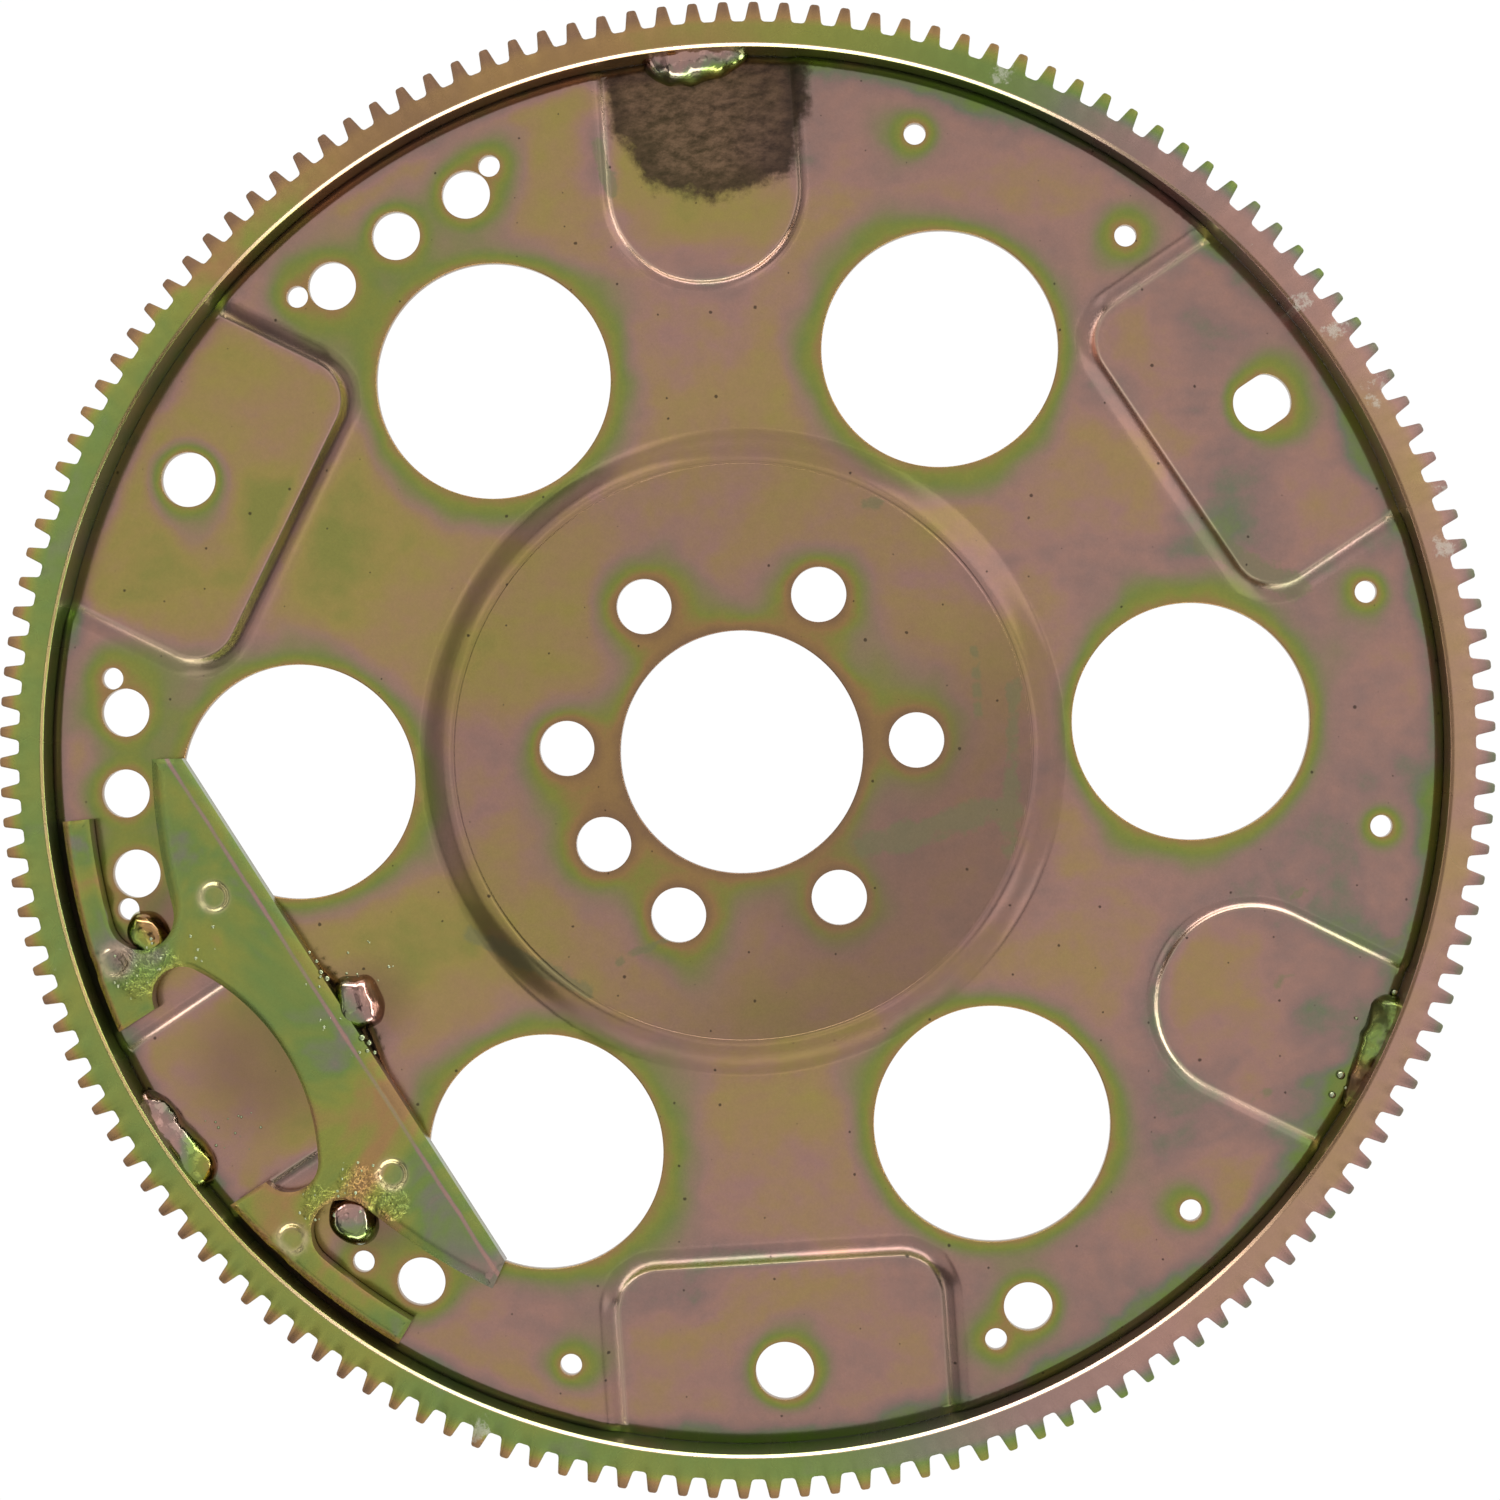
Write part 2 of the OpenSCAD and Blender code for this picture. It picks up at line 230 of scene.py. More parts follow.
def linked(name, data):  # a new object of the scene
    made = bpy.data.objects.new(name, data)
    bpy.context.scene.collection.objects.link(made)
    return made


def addPiece(name, points, faces, finish, node, marks, sharp):
    mesh = newMesh(name, points, faces)
    for mark, values in marks.items():
        mesh.attributes.new(mark, "FLOAT", "POINT").data.foreach_set("value", np.asarray(values, np.float32))
    return placePiece(linked(name, mesh), finish, node, sharp)


def placePiece(piece, finish, node=None, sharp=40):
    mesh = piece.data
    mesh.materials.clear()
    mesh.materials.append(finish)
    mesh.shade_smooth()
    mesh.set_sharp_from_angle(angle=radians(sharp))
    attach(piece, "root")
    if node:
        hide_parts(node)
    print(piece.name + ":", len(mesh.polygons), "faces")
    return piece


# Shader sums

def summing(operation, reflected=False):
    def apply(self, other):
        return self.sum(operation, other, self) if reflected else self.sum(operation, self, other)
    return apply


def fillRamp(ramp, stops):
    while len(ramp.elements) < len(stops):
        ramp.elements.new(0.5)
    for element, (place, colour) in zip(ramp.elements, stops):
        element.position, element.color = place, colour


class Wire:  # a socket that takes part in sums
    operations = ("ADD", "SUBTRACT", "MULTIPLY", "DIVIDE", "POWER")
    __add__, __sub__, __mul__, __truediv__, __pow__ = map(summing, operations)
    __radd__, __rsub__, __rmul__, __rtruediv__, __rpow__ = (summing(kind, True) for kind in operations)

    def __init__(self, tree, socket):
        self.tree, self.socket = tree, socket

    def make(self, kind, inputs=None, output=0, **settings):
        node = self.tree.nodes.new(kind)
        for name, value in settings.items():
            if name == "stops":
                fillRamp(node.color_ramp, value)
            else:
                setattr(node, name, value)
        for key, value in (inputs or {}).items():
            if isinstance(value, Wire):
                self.tree.links.new(value.socket, node.inputs[key])
            else:
                node.inputs[key].default_value = value
        return Wire(self.tree, node.outputs[output]) if node.outputs else None

    def sum(self, operation, a, b):
        return self.make("ShaderNodeMath", {0: a, 1: b}, operation=operation)


def tint(red, green, blue):  # a colour as a paint program gives it
    return tuple((c / 255) ** 2.2 for c in (red, green, blue)) + (1,)


def newFinish(name):
    finish = bpy.data.materials.new(name)
    finish.use_nodes = True
    finish.node_tree.nodes.clear()
    return finish, Wire(finish.node_tree, None).make("ShaderNodeTexCoord", output="Object")


def closeFinish(finish, place, look, inputs):
    metal = place.make("ShaderNodeBsdfPrincipled", {"Metallic": look["metal"], **inputs})
    place.make("ShaderNodeOutputMaterial", {"Surface": metal})
    return finish


def soft(value, low, high):  # 0 at low, 1 at high
    return value.make("ShaderNodeMapRange", {"Value": value, "From Min": low, "From Max": high},
                      interpolation_type="SMOOTHSTEP")


def mixed(factor, first, second):
    return factor.make("ShaderNodeMix", {0: factor, 6: first, 7: second}, 2, data_type="RGBA")


def shaded(colour, factor):  # a colour made darker or lighter by a value
    inputs = {0: 1, 6: colour, 7: factor}
    return factor.make("ShaderNodeMix", inputs, 2, data_type="RGBA", blend_type="MULTIPLY")


def cloud(place, scale, detail=3, rough=0.5, warp=0):
    return place.make("ShaderNodeTexNoise", {"Vector": place, "Scale": scale, "Detail": detail,
                                             "Roughness": rough, "Distortion": warp})


def stretched(place, angle, across):  # a place whose patterns run long in one direction
    return place.make("ShaderNodeMapping", {"Vector": place, "Rotation": (0, 0, radians(-angle)),
                                            "Scale": (1, across, 1)})


def flatPlace(place):  # the place in the sheet's plane, then in millimetres: across, upward, from the axis
    plane = place.make("ShaderNodeVectorMath", {0: place, 1: (1, 1, 0)}, operation="MULTIPLY")
    across, upward = (place.make("ShaderNodeSeparateXYZ", {0: place}, axis) * (1 / mm) for axis in "XY")
    radius = place.make("ShaderNodeVectorMath", {0: plane}, "Value", operation="LENGTH") * (1 / mm)
    return plane, across, upward, radius


def bumped(place, height):  # a height in millimetres
    return place.make("ShaderNodeBump", {"Strength": 1, "Distance": mm, "Height": height}, "Normal")


def mark(place, name):
    return place.make("ShaderNodeAttribute", {}, "Fac", attribute_name=name)


def specks(place, perMetre, size):  # sparse spots of several sizes, 1 inside a spot
    cells = {"Vector": place, "Scale": perMetre}
    gap, lot = (place.make("ShaderNodeTexVoronoi", cells, output, voronoi_dimensions="2D")
                for output in ("Distance", "Color"))
    chance = place.make("ShaderNodeSeparateColor", {0: lot})
    bent = gap + (cloud(place, perMetre * 14, 2) - 0.5) * size * 0.8
    return (1 - soft(bent / (chance ** 3 * size), 0.5, 1.0)) * soft(chance, 0.45, 0.5)


def nearSpot(plane, spot, size):  # 1 at a spot, 0 beyond its size; spot and size in millimetres
    at = (spot[0] * mm, spot[1] * mm, 0)
    gap = plane.make("ShaderNodeVectorMath", {0: plane, 1: at}, "Value", operation="DISTANCE") * (1 / mm)
    return 1 - soft(gap, size * 0.2, size)


# Finishes

tints = {
    "sage": tint(118, 118, 86), "pink": tint(156, 122, 112), "brown": tint(120, 95, 78),
    "rust": tint(146, 100, 66), "umber": tint(120, 95, 77), "tan": tint(98, 76, 56), "soot": tint(50, 42, 35),
    # pale serves for painted highlights; silver for worn places and for a painted highlight on the spatter
    "silver": tint(198, 196, 182), "pale": tint(226, 196, 166),
}
# colours of the plating in the order in which its film grows thicker
films = [(0.0, tint(131, 129, 70)), (0.12, tint(150, 133, 78)), (0.24, tint(154, 126, 91)),
         (0.34, tint(154, 119, 108)), (0.43, tint(138, 112, 105)), (0.5, tint(114, 114, 95)),
         (0.57, tint(108, 125, 69)), (0.68, tint(130, 131, 66)), (0.77, tint(148, 117, 77)),
         (0.9, tint(128, 99, 77))]


def filmColour(film):
    return film.make("ShaderNodeValToRGB", {0: film}, stops=films)


def grained(place, colour, strength=0.12, level=1):
    grain = cloud(place, 2600, 2, 0.6)
    tone = cloud(place, 420, 3, 0.6)
    return shaded(colour, level + (grain - 0.5) * strength * 2 + (tone - 0.5) * strength)


def dentedNormal(place, fine, broad):  # the sheet's grain and its slight waves, in millimetres
    return bumped(place, cloud(place, 1500, 3, 0.6) * fine + cloud(place, 60, 2, 0.5) * broad)


discLook = {
    "roughness": 0.2, "metal": 0.92, "grain": 0.1, "level": 0.83, "crease": 0.3, "stroke": 0.6, "dusk": 0.55,
    "cover": 0.92, "spots": 0.75,
    # corners of the sooty patch in the top relief
    "soot": [(-21.2, 149.9), (-20.5, 138.8), (-10.9, 123.6), (1.6, 120.3), (19.7, 125.0),
             (24.5, 140.7), (24.6, 149.1)],
    # places where the film is thicker or thinner: place, size, change
    "drifts": [((-3, 93), 24, 0.12), ((-120, -69), 24, 0.13), ((109, 46), 20, 0.2), ((-50, -119), 22, 0.12),
               ((-2, -94), 26, 0.08), ((-93, 57), 18, -0.20), ((81, 36), 26, 0.05), ((0, 58), 22, 0.05)],
    # browned sheet round the weight's welds, and painted shade in its window: place on the weight's axes,
    # size
    "scorchedAndShaded": [((97.5, 1.5), 13), ((127, -40), 11), ((124, 42), 12), ((126, 0), 22)],
}


def sootDepth(across, upward):  # how far inside the sooty patch a place lies
    corners = discLook["soot"]
    depth = across * 0 + 40
    for (ax, ay), (bx, by) in zip(corners, corners[1:]):
        length = hypot(bx - ax, by - ay)
        inside = ((upward - ay) * (bx - ax) - (across - ax) * (by - ay)) / length
        depth = depth.sum("MINIMUM", depth, inside)
    return depth


def discFinish():
    finish, place = newFinish("plated_sheet")
    plane, across, upward, radius = flatPlace(place)
    halo, bend, smear, upper, crease = (
        mark(place, name) for name in ("halo", "bend", "smear", "upper", "crease"))
    # the film runs from olive at the upper left to pink and grey-green at the right
    streaks = stretched(plane, 14, 1.7)
    drift = cloud(streaks, 15, 4, 0.55, 0.6) * 0.65 + cloud(plane, 44, 3, 0.6, 0.3) * 0.35
    film = 0.25 + (drift - 0.5) * 1.15 + across * 0.0009 - upward * 0.0003
    for at, size, change in discLook["drifts"]:
        film = film + nearSpot(plane, at, size) * change
    waver = cloud(plane, 30, 3, 0.6)
    rim = soft(radius + (waver - 0.5) * 14, 145, 151.5)
    film = film + (0.56 - film) * bend * (0.2 + soft(waver, 0.35, 0.65) * 0.6)
    film = film + (0.7 - film) * rim * 0.55
    # it grows thick round the holes, further on one side than on the other
    near = halo ** (0.85 + soft(cloud(plane, 22, 3, 0.55), 0.32, 0.68) * 1.9)
    flecks = (cloud(plane, 150, 4, 0.65) - 0.5) * 0.15
    thick = filmColour(0.5 + near * (0.27 + (1 - soft(radius, 36, 56)) * 0.12) + flecks)
    fringe = film + (0.38 - film) * soft(near, 0.0, 0.18) * 0.75
    colour = mixed(soft(near, 0.04, 0.55), filmColour(fringe + flecks), thick)
    # the foot of the hub, and the hub's darker lower right
    foot = soft(radius, 64.5, 67) * (1 - soft(radius, 68, 71.5))
    colour = mixed(foot * cloud(plane, 18, 2) * 0.4, colour, tints["brown"])
    dusk = soft(across - upward + (waver - 0.5) * 60, 5, 75) * (1 - soft(radius, 62.5, 63.5))
    colour = mixed(dusk * discLook["dusk"], colour, tints["brown"])
    # a pale painted highlight where a pressed wall meets its floor
    colour = mixed(crease * upper * discLook["crease"], colour, tints["pale"])
    stroke = soft(smear + (cloud(plane, 160, 4, 0.7) - 0.5) * 1.5, 0.5, 0.85) * upper
    colour = mixed(stroke * discLook["stroke"], colour, tints["sage"])
    # browned sheet round the weight's welds, and painted shade on the sheet inside the weight's window
    for at, size in discLook["scorchedAndShaded"]:
        scorchAndShade = nearSpot(plane, onWeight(at), size)
        colour = mixed(scorchAndShade * (0.35 + waver * 0.6), colour, tints["umber"])
    # soot with a dark ragged border
    depth = sootDepth(across, upward) + (cloud(plane, 190, 6, 0.75) - 0.5) * 10
    soot = soft(depth, -1.2, 2.4) * upper
    mottle = soft(cloud(stretched(plane, 60, 1.8), 260, 6, 0.75), 0.3, 0.7)
    border = 1 - soft(depth, 1, 8)
    paler = mottle * (1 - border * 0.7) * (1 - soft(across, 0, 24) * 0.4)
    colour = mixed(soot * discLook["cover"], colour, mixed(paler, tints["soot"], tints["umber"]))
    spots = specks(plane, 105, 0.055)
    level = discLook["level"] + soft(radius, 62, 76) * 0.08 + soft(across, 40, 150) * 0.04
    colour = mixed(spots * discLook["spots"], grained(place, colour, discLook["grain"], level), tints["soot"])
    return closeFinish(finish, place, discLook, {
        "Base Color": colour, "Normal": dentedNormal(place, 0.008, 0.12),
        "Roughness": discLook["roughness"] + (cloud(plane, 35, 3) - 0.5) * 0.1 + soot * 0.3})


ringLook = {
    # lip is the strength of the chamfer's colour and of its painted highlight at the top and the bottom
    "roughness": 0.27, "metal": 0.92, "grain": 0.12, "level": 1.08, "lip": 0.8, "scuff": 0.45,
    # worn places: radius, angle, size
    "scuffs": [(154.6, 35, 5), (156, 31.5, 6), (156.6, 25.8, 6), (160, 16.7, 4), (157, 12.5, 5),
               (157, 245, 6), (157, 65, 6)],
}


def ringFinish():
    finish, place = newFinish("plated_ring")
    plane, across, upward, radius = flatPlace(place)
    # green with brown teeth at the left, tan with green teeth at the right
    drift = cloud(plane, 26, 4, 0.6) - 0.5
    right = soft(across + drift * 160, -30, 130)
    film = 0.6 - right * 0.32 + soft(radius, 156.6, 162.5) * (0.28 - right * 0.08) + drift * 0.5
    film = film + soft(upward + drift * 80, 70, 140) * 0.17
    colour = filmColour(film)
    # the chamfer of the bore, tan, with a pale painted highlight at the top and the bottom
    lip = soft(radius, boreR + 0.02, boreR + 0.15) * (1 - soft(radius, boreR + 0.45, boreR + 0.9))
    paintedHighlight = soft(upward * upward, 9000, 21000)
    colour = mixed(lip * ringLook["lip"], colour, mixed(paintedHighlight, tints["tan"], tints["pale"]))
    worn = cloud(plane, 260, 5, 0.75)
    for r, angle, size in ringLook["scuffs"]:
        scuff = soft(worn + nearSpot(plane, polar(r, angle), size) * 0.26, 0.7, 0.82)
        colour = mixed(scuff * ringLook["scuff"], colour, tints["silver"])
    level = ringLook["level"] - soft(upward, 70, 150) * 0.13
    return closeFinish(finish, place, ringLook, {
        "Base Color": grained(place, colour, ringLook["grain"], level),
        "Roughness": ringLook["roughness"] + (cloud(plane, 60, 3) - 0.5) * 0.12,
        "Normal": dentedNormal(place, 0.012, 0.06)})


weightLook = {
    # dimple is the strength of the painted highlight on the walls of the dimples
    "roughness": 0.25, "metal": 0.92, "grain": 0.12, "lip": 0.6, "dimple": 0.35,
    "lipLine": 103.6,  # the straight edge that the pink line follows
    # wrinkled skin beside the welds: place on the weight's axes, size
    "crusts": [((136.5, -31.5), 9), ((131, -29), 6), ((121.5, 34.5), 8), ((130, 34), 8), ((117, 41), 6)],
}


def weightFinish():
    finish, place = newFinish("plated_weight")
    plane, across, upward, radius = flatPlace(place)
    edge = mark(place, "edge")
    drift = cloud(plane, 30, 4, 0.55, 0.6)
    waver = cloud(plane, 90, 3, 0.6)
    out = polar(1, weightAngle).tolist()
    inset = across * out[0] + upward * out[1] - weightLook["lipLine"] + (waver - 0.5) * 0.8
    lip = soft(inset, 2.1, 2.6) * (1 - soft(inset, 2.8, 3.4)) * (0.4 + waver)
    film = 0.57 + (drift - 0.5) * 1.05 + soft(edge, 0.0, 0.06) * 0.05 - lip * 0.12
    colour = filmColour(film)
    colour = mixed(soft(edge + (waver - 0.5) * 0.3, 0.45, 0.75) * 0.55, colour, tints["umber"])
    colour = mixed(lip * weightLook["lip"], colour, tints["pink"])
    # a pale painted highlight on the walls of the dimples
    colour = mixed(mark(place, "dimple") * weightLook["dimple"], colour, tints["pale"])
    sheared = soft(radius, 147.6, 148.6)
    colour = mixed(sheared * (0.2 + waver * 0.7), colour, tints["rust"])
    crust = across * 0
    for at, size in weightLook["crusts"]:
        crust = crust.sum("MAXIMUM", crust, nearSpot(plane, onWeight(at), size))
    crust = soft(crust + (waver - 0.5) * 0.7, 0.15, 0.8)
    wrinkles = cloud(place, 850, 3, 0.6, 0.8) * (crust * 0.9 + sheared * 0.2 + 0.012)
    return closeFinish(finish, place, weightLook, {
        "Base Color": grained(place, colour, weightLook["grain"]),
        "Roughness": weightLook["roughness"] + (waver - 0.5) * 0.12 - crust * 0.13,
        "Normal": bumped(place, wrinkles + cloud(place, 60, 2) * 0.12)})


weldLook = {"roughness": 0.15, "metal": 1.0, "grain": 0.08, "level": 1.15, "burnt": 0.7}


def weldFinish():
    finish, place = newFinish("weld_metal")
    film = mark(place, "film") + (cloud(place, 140, 3, 0.55, 0.4) - 0.5) * 0.35
    colour = filmColour(film)
    burnt = soft(cloud(place, 150, 3, 0.6, 0.5) + mark(place, "burnt"), 0.56, 0.74)
    colour = grained(place, colour, weldLook["grain"], weldLook["level"])
    height = cloud(place, 300, 2, 0.5, 0.5) * 0.22 + cloud(place, 1300, 2, 0.5) * 0.012
    return closeFinish(finish, place, weldLook, {
        "Base Color": mixed(burnt * weldLook["burnt"], colour, tints["soot"]),
        "Roughness": weldLook["roughness"] + burnt * 0.2, "Normal": bumped(place, height)})


dropLook = {"roughness": 0.22, "metal": 0.95}


def dropFinish():  # small drops are plated too
    finish, place = newFinish("weld_drops")
    # the plating's green, mixed towards silver as a painted highlight for the drops' glints
    colour = mixed(cloud(place, 90, 2) * 0.7, films[6][1], tints["silver"])
    return closeFinish(finish, place, dropLook, {"Base Color": colour, "Roughness": dropLook["roughness"]})


plateFinish, gearFinish, massFinish, beadFinish = discFinish(), ringFinish(), weightFinish(), weldFinish()
speckFinish = dropFinish()
print("finishes: 5")


# Pressed disc

disc = {
    "sheet": 2.5, "rimRoll": 2.2, "flangeR": discR - 2.5, "flangeStart": 0.45, "flangeRun": 0.35,
    "hubR": 63.0, "hubRun": 8.8, "hubGroove": 0.32, "grooveW": 0.45,
    "padW": 71.0, "padInner": 112.8, "padCorner": 9.0, "padReach": 6.5, "padDepth": 3.1, "padPower": 2,
    "reliefW": 41.0, "reliefInner": 103.6, "reliefCorner": 20.0, "reliefReach": 5.0, "reliefDepth": 1.8,
    "reliefPower": 3,
    "spacing": 2.4, "rimStep": 1.6, "bigStep": 1.4, "smallStep": 0.7, "bigEdge": 0.3, "smallEdge": 0.12,
    # how far the colours of a pressed wall reach over its floor and over the web
    "bendIn": 1.2, "bendOut": 6.5,
    # lines that the mesh follows: steps from the hub's edge, the flange and a hole, angles in the rim's roll,
    # steps from a floor and shares of its wall
    "hubLines": (-0.6, -0.45, -0.3, -0.08, 0.08, 0.3, 0.45, 0.6, 1.4, 2.2, 3.0, 3.7, 4.4, 5.1, 5.8, 6.6,
                 7.5, 8.5, 9.6),
    "flangeLines": (-0.8, -0.5, -0.3, -0.1, 0), "holeLines": (0.9, 2.0, 3.6),
    "rollLines": (0, 15, 30, 45, 58, 68), "floorLines": (-0.5, -0.15, 0.15),
    "wallLines": (0.12, 0.25, 0.4, 0.58, 0.78, 1.0, 1.3, 1.65),
}
holes = {
    "boreR": 26.4, "crankR": 38.1, "crankD": 12.0, "crankSpread": 5.0,
    "dowelR": 36.2, "dowelD": 12.0, "dowelAngle": 210, "lightenR": 97.8, "lightenD": 51.5,
    "smallR": 139.7, "smallD": 4.8, "smallSpread": 10.5, "balanceR": 136.2, "balanceD": 10.6,
    "balanceAngles": [112.5, 120, 127.5, 172.5, 180, 187.5, 234.9, 293.4],
    "converterR": 136.525, "converterLeftD": 12.1, "converterLowD": 12.8, "converterFlats": 10.9,
    # reach of the colours round the holes
    "mainHalo": 5.5, "smallHalo": 4.4, "balanceHalo": 4.2, "converterHalo": 4.0,
}
# green strokes left on the plating: start, end, width
strokes = [((27, -22), (57, -15.5), 5), ((60, 11), (56.5, -26), 2.4), ((52, 18), (51.7, 4), 1.6),
           ((-62, -36), (-37, -49.5), 3), ((-30, -44), (-12, -37), 1.2), ((-23, 135), (-20, 124), 2.4),
           ((31, 52), (33.5, 51.5), 2.6), ((104, 38), (122, 28), 5), ((116.9, -39.7), (119.9, -38.3), 1.6),
           ((112.7, -58.1), (115.7, -56.7), 1.6), ((137.1, -51.2), (140.1, -49.8), 1.6),
           ((106.0, -83.2), (109.0, -81.8), 1.6)]


def roundHoles():  # centre, radius, edge, reach of the colours round it
    found = [((0, 0), holes["boreR"], disc["bigEdge"], holes["mainHalo"])]

    def add(kind, angle, halo="main", edge="small", side=""):
        r, d = holes[kind + "R"], holes[kind + side + "D"]
        found.append((polar(r, angle), d / 2, disc[edge + "Edge"], holes[halo + "Halo"]))

    beside = {holes["dowelAngle"] - 30: -1, holes["dowelAngle"] + 30: 1}
    for angle in range(0, 360, sector):
        add("crank", angle + holes["crankSpread"] * beside.get(angle, 0))
        add("lighten", angle, edge="big")
        for way in (-1, 1):
            add("small", angle + way * holes["smallSpread"], "small")
    add("dowel", holes["dowelAngle"])
    for angle in holes["balanceAngles"]:
        add("balance", angle, "balance")
    add("converter", 150, "converter", side="Left")
    add("converter", 270, "converter", side="Low")
    return found


def flatSidedLoop():  # the converter hole at 30 degrees, its corners eased
    loop = circleLoop((0, 0), holes["converterLowD"] / 2, 0.5)
    loop[:, 1] = np.clip(loop[:, 1], -holes["converterFlats"] / 2, holes["converterFlats"] / 2)
    for _ in range(8):
        loop = (np.roll(loop, 1, axis=0) + 2 * loop + np.roll(loop, -1, axis=0)) / 4
    return turned(loop + [holes["converterR"], 0], 30)


def panGap(points, angle, kind):  # distance outside the floor of a pad or relief
    local = turned(points, -angle)
    corner = disc[kind + "Corner"]
    inward = disc[kind + "Inner"] + corner - local[:, 0]
    sideways = np.abs(local[:, 1]) - (disc[kind + "W"] / 2 - corner)
    outside = np.hypot(np.maximum(inward, 0), np.maximum(sideways, 0))
    return outside + np.minimum(np.maximum(inward, sideways), 0) - corner


def panGuide(angle, kind, gap):  # the line at a distance outside a pad's or relief's floor
    corner, half = disc[kind + "Corner"] + gap, disc[kind + "W"] / 2 + gap
    end = sqrt((discR - 0.4) ** 2 - half ** 2)
    middle = disc[kind + "Inner"] + disc[kind + "Corner"]
    inner = disc[kind + "Inner"] - gap
    points = joined(line((end, half), (middle, half)),
                    arc((middle, half - corner), corner, 90, 180),
                    line((inner, half - corner), (inner, corner - half)),
                    arc((middle, corner - half), corner, 180, 270),
                    line((middle, -half), (end, -half)))
    return turned(points, angle)


def pressedTop(points):
    r = np.hypot(*points.T)
    share = np.clip((r - disc["hubR"]) / disc["hubRun"], 0, 1)
    z = hubTop - (hubTop - webTop) * share ** 2 * (3 - 2 * share)
    for kind, angle in pans:
        # a wall is steepest at the floor and eases out into the web
        left = np.clip(1 - panGap(points, angle, kind) / disc[kind + "Reach"], 0, 1)
        z = np.where(left > 0, np.minimum(z, webTop - disc[kind + "Depth"] * left ** disc[kind + "Power"]), z)
    return z


def discTop(points):
    r = np.hypot(*points.T)
    z, roll = pressedTop(points), disc["rimRoll"]
    z -= disc["hubGroove"] * np.clip(1 - np.abs(r - disc["hubR"]) / disc["grooveW"], 0, 1)
    into = np.clip(r - (discR - roll), 0, roll)
    room = np.clip((z - ringRear - 1) / roll, 0, 1)  # the pads have less room for the roll
    return z - (roll - np.sqrt(roll ** 2 - into ** 2)) * room


def discUnder(points):
    r = np.hypot(*points.T)
    z = np.maximum(pressedTop(points) - disc["sheet"], padUnder)
    step = np.clip((r - disc["flangeR"] + disc["flangeStart"]) / disc["flangeRun"], 0, 1)
    return z + (np.minimum(z, ringRear) - z) * step


def discGuides():
    radii = [disc["hubR"] + d for d in disc["hubLines"]] + [disc["flangeR"] + d for d in disc["flangeLines"]]
    radii += [discR - disc["rimRoll"] * (1 - sin(radians(a))) for a in disc["rollLines"]]
    guides = [ringGuide((0, 0), r, 2.0) for r in radii]
    for kind, angle in pans:
        gaps = list(disc["floorLines"]) + [disc[kind + "Reach"] * share for share in disc["wallLines"]]
        guides += [panGuide(angle, kind, gap) for gap in gaps]
    for centre, r, edge, reach in roundHoles():
        guides += [ringGuide(centre, r + edge + ahead, 1.6) for ahead in disc["holeLines"]]
    return guides


def haloMark(points):  # 1 at the edge of a hole, fading away from it
    flatSided = (polar(holes["converterR"], 30), holes["converterLowD"] / 2 - 0.3, 0, holes["converterHalo"])
    clear = np.ones(len(points))
    for centre, r, edge, reach in roundHoles() + [flatSided]:
        gap = np.maximum(np.hypot(*(points - centre).T) - r, 0)
        clear *= 1 - np.exp(-gap / reach)
    return np.clip(1 - clear, 0, 1)


def wallMarks(points):  # 1 on the pressed walls, fading beside them; and 1 where a wall meets its floor
    gap = np.array([panGap(points, angle, kind) for kind, angle in pans])
    inside = np.exp(np.minimum(gap, 0) / disc["bendIn"])
    outside = np.exp(-(np.maximum(gap, 0) / disc["bendOut"]) ** 2)
    # 1 where a wall meets its floor, where a painted highlight goes
    crease = np.exp(-((gap - 0.3) / 0.5) ** 2)
    return np.where(gap < 0, inside, outside).max(axis=0), crease.max(axis=0)


def strokeMark(points):  # 1 on the green strokes
    found = np.zeros(len(points))
    for start, end, width in strokes:
        start, way = np.array(start, float), np.subtract(end, start).astype(float)
        along = np.clip((points - start) @ way / (way @ way), 0, 1)
        gap = np.linalg.norm(points - start - along[:, None] * way, axis=1)
        found = np.maximum(found, np.clip(1.25 - gap / width, 0, 1))
    return found


def buildDisc():
    small = disc["smallEdge"]
    loops = [(circleLoop((0, 0), discR, disc["rimStep"]), small, small)]
    for centre, r, edge, reach in roundHoles():
        step = disc["bigStep"] if edge == disc["bigEdge"] else disc["smallStep"]
        loops.append((circleLoop(centre, r, step), edge, edge))
    loops.append((flatSidedLoop(), small, small))
    points, faces = sheetMesh(loops, discGuides(), disc["spacing"], discTop, discUnder)
    flat = points[:, :2]
    upper = points[:, 2] > pressedTop(flat) - disc["sheet"] / 2
    bend, crease = wallMarks(flat)
    marks = {"upper": upper, "halo": haloMark(flat), "bend": bend, "smear": strokeMark(flat),
             "crease": crease}
    addPiece("pressed_disc", points, faces, plateFinish, "flexplate_disc", marks, sharp=55)


buildDisc()


# Starter ring: one tooth with its share of the rim, repeated by Geometry Nodes

ring = {"teeth": 153, "turn": 0.44, "toothH": 4.2, "tipW": 1.9, "rootW": 3.7, "rootRound": 0.55,
        "tipRound": 0.45, "chamfer": 0.57, "chamferH": 0.61, "edge": 0.3}


def toothOutline():
    rootR, half = tipR - ring["toothH"], 180 / ring["teeth"]
    low, high = ring["rootRound"], ring["tipRound"]
    rootHalf, tipHalf = ring["rootW"] / 2, ring["tipW"] / 2

    def flank(rise):
        return rootHalf + (tipHalf - rootHalf) * rise / ring["toothH"]

    first, last = low * 0.3, high * 0.3  # the middles of the roundings
    side = [(rootR, rootHalf + low), (rootR + first, flank(first) + first), (rootR + low, flank(low)),
            (tipR - high, flank(ring["toothH"] - high)), (tipR - last, flank(ring["toothH"] - last) - last),
            (tipR, tipHalf - high)]
    rising = [(-half, rootR)] + [(-degrees(w / r), r) for r, w in side]
    whole = rising + [(0, tipR)] + [(-a, r) for a, r in reversed(rising)]
    return np.array(whole)


